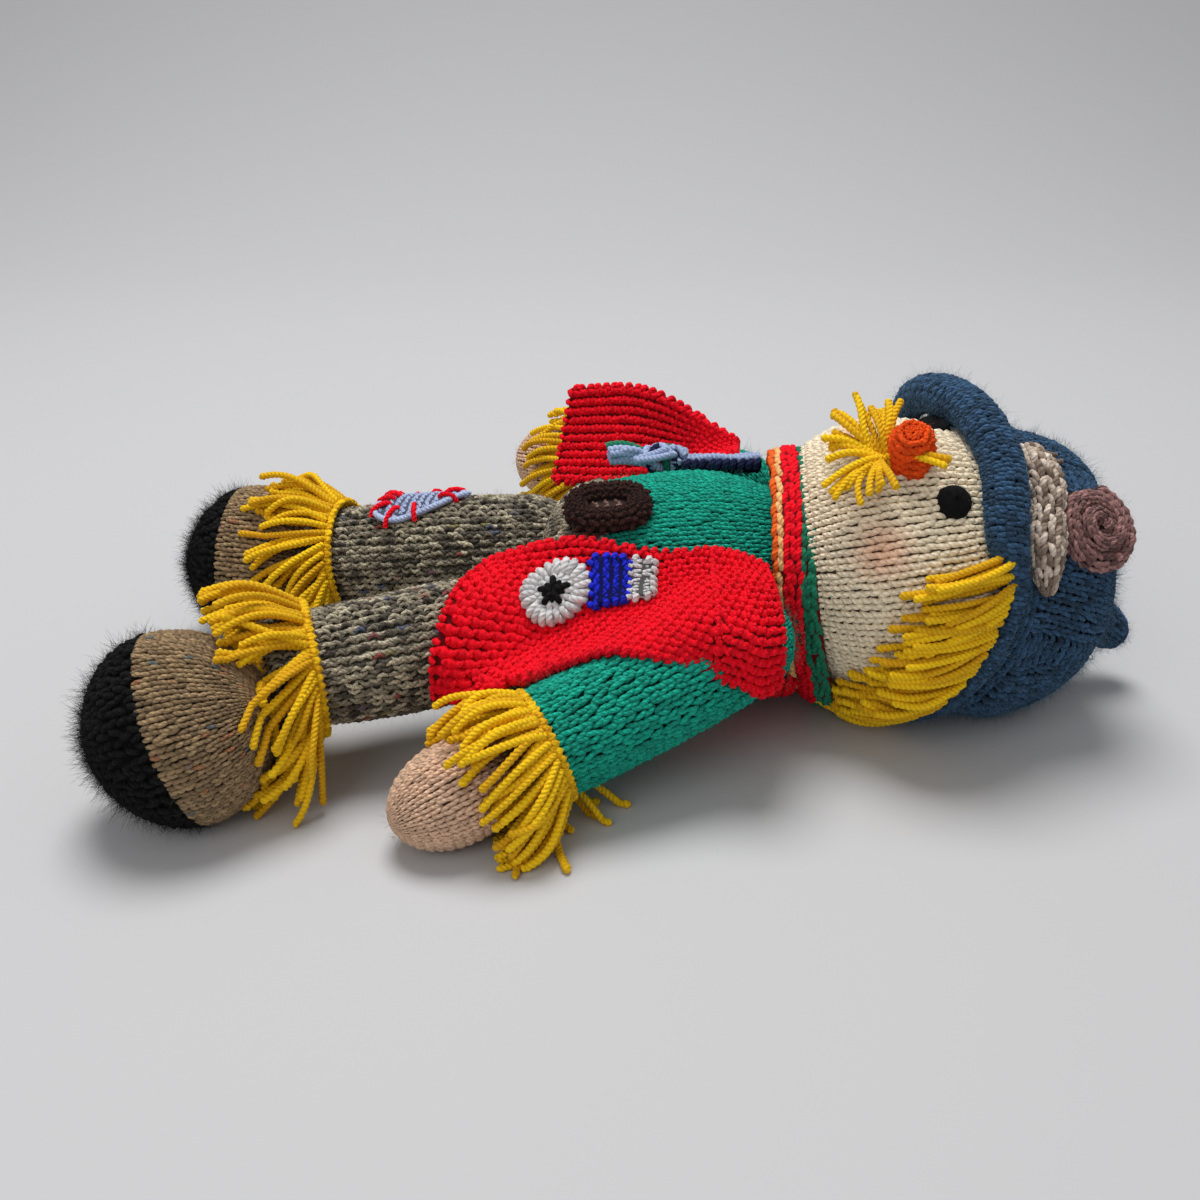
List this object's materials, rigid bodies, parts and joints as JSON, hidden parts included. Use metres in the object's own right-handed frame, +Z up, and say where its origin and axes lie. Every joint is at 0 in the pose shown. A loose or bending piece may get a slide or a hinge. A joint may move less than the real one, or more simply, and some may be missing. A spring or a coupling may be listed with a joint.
{
  "type": "knitted scarecrow doll",
  "caption": "Hand-knitted scarecrow doll lying on its back, with stuffed limbs, a loose red waistcoat, yarn straw at wrists and ankles, a scarf and a floppy blue hat.",
  "frame": {"origin": "middle of the outline seen from above, at the level the doll lies on", "axes": "+X from the boots to the hat, +Z up; the doll's left side is towards -Y"},
  "size_m": [0.304, 0.2136, 0.0992],
  "materials": {
    "green_wool": "rough",
    "tweed_wool": "rough",
    "boot_wool": "rough",
    "sole_mohair": "rough",
    "yellow_straw_yarn": "rough",
    "skin_wool": "rough",
    "cream_wool": "rough",
    "black_felt": "rough",
    "orange_wool": "rough",
    "blue_mohair": "rough",
    "snail_body_wool": "rough",
    "snail_shell_wool": "rough",
    "red_wool": "rough",
    "medal_wool": "rough",
    "ribbon_wool": "rough",
    "buckle_wool": "rough",
    "buckle_centre_wool": "rough",
    "scarf_wool": "rough",
    "scarf_tail_wool": "rough",
    "patch_wool": "rough"
  },
  "bodies": {
    "body": {"sweater_torso": "green_wool", "trousers_seat": "tweed_wool", "waistcoat_back": "red_wool", "waistcoat_left_shoulder": "red_wool", "scarf_wrap": "scarf_wool", "scarf_tail": "scarf_tail_wool", "scarf_knot": "scarf_tail_wool", "scarf_fringe": "scarf_tail_wool", "buckle": "buckle_wool", "buckle_centre": "buckle_centre_wool"},
    "left_front": {"waistcoat_left_front": "red_wool", "medal_disc": "medal_wool", "medal_star": "black_felt", "medal_ribbon": "ribbon_wool", "medal_bar": "medal_wool"},
    "right_front": {"waistcoat_right_front": "red_wool"},
    "head": {"head": "cream_wool", "nose": "orange_wool", "left_eye": "black_felt", "right_eye": "black_felt", "moustache": "yellow_straw_yarn", "left_hair": "yellow_straw_yarn", "right_hair": "yellow_straw_yarn", "hat_crown": "blue_mohair", "hat_brim": "blue_mohair", "hat_tip": "blue_mohair", "snail_body": "snail_body_wool", "snail_shell": "snail_shell_wool"},
    "left_arm": {"left_sleeve": "green_wool", "left_hand": "skin_wool", "left_cuff_straw": "yellow_straw_yarn"},
    "right_arm": {"right_sleeve": "green_wool", "right_hand": "skin_wool", "right_cuff_straw": "yellow_straw_yarn"},
    "left_leg": {"left_leg": "tweed_wool", "left_boot": "boot_wool", "left_sole": "sole_mohair", "left_ankle_straw": "yellow_straw_yarn"},
    "right_leg": {"right_leg": "tweed_wool", "right_boot": "boot_wool", "right_sole": "sole_mohair", "right_ankle_straw": "yellow_straw_yarn", "knee_patch": "patch_wool"}
  },
  "joints": [
    {"name": "neck_turn", "type": "hinge", "parent": "body", "child": "head", "pos_m": [0.04076, -0.0104, 0.0405], "axis": [0.973, -0.1032, 0.2064], "range_deg": [-25, 25]},
    {"name": "left_shoulder", "type": "hinge", "parent": "body", "child": "left_arm", "pos_m": [0.02256, -0.0529, 0.038], "axis": [0, 0, 1], "range_deg": [0, 60]},
    {"name": "right_shoulder", "type": "hinge", "parent": "body", "child": "right_arm", "pos_m": [0.02776, 0.0271, 0.0485], "axis": [0, 0, -1], "range_deg": [-15, 45]},
    {"name": "left_hip", "type": "hinge", "parent": "body", "child": "left_leg", "pos_m": [-0.03824, -0.0354, 0.033], "axis": [-0.3252, 0.9456, 0], "range_deg": [0, 60]},
    {"name": "right_hip", "type": "hinge", "parent": "body", "child": "right_leg", "pos_m": [-0.03824, 0.0076, 0.039], "axis": [0.1513, 0.9885, 0], "range_deg": [0, 60]},
    {"name": "left_front_lift", "type": "hinge", "parent": "body", "child": "left_front", "pos_m": [0.01476, -0.0454, 0.066], "axis": [0, 1, 0], "range_deg": [0, 52.2]},
    {"name": "right_front_swing", "type": "hinge", "parent": "body", "child": "right_front", "pos_m": [-0.00224, 0.0211, 0.0565], "axis": [1, 0, 0], "range_deg": [-10, 3]}
  ],
  "couplings": [
    {"joint": "left_front_lift", "follows": "left_hip", "ratio": 0.87}
  ]
}
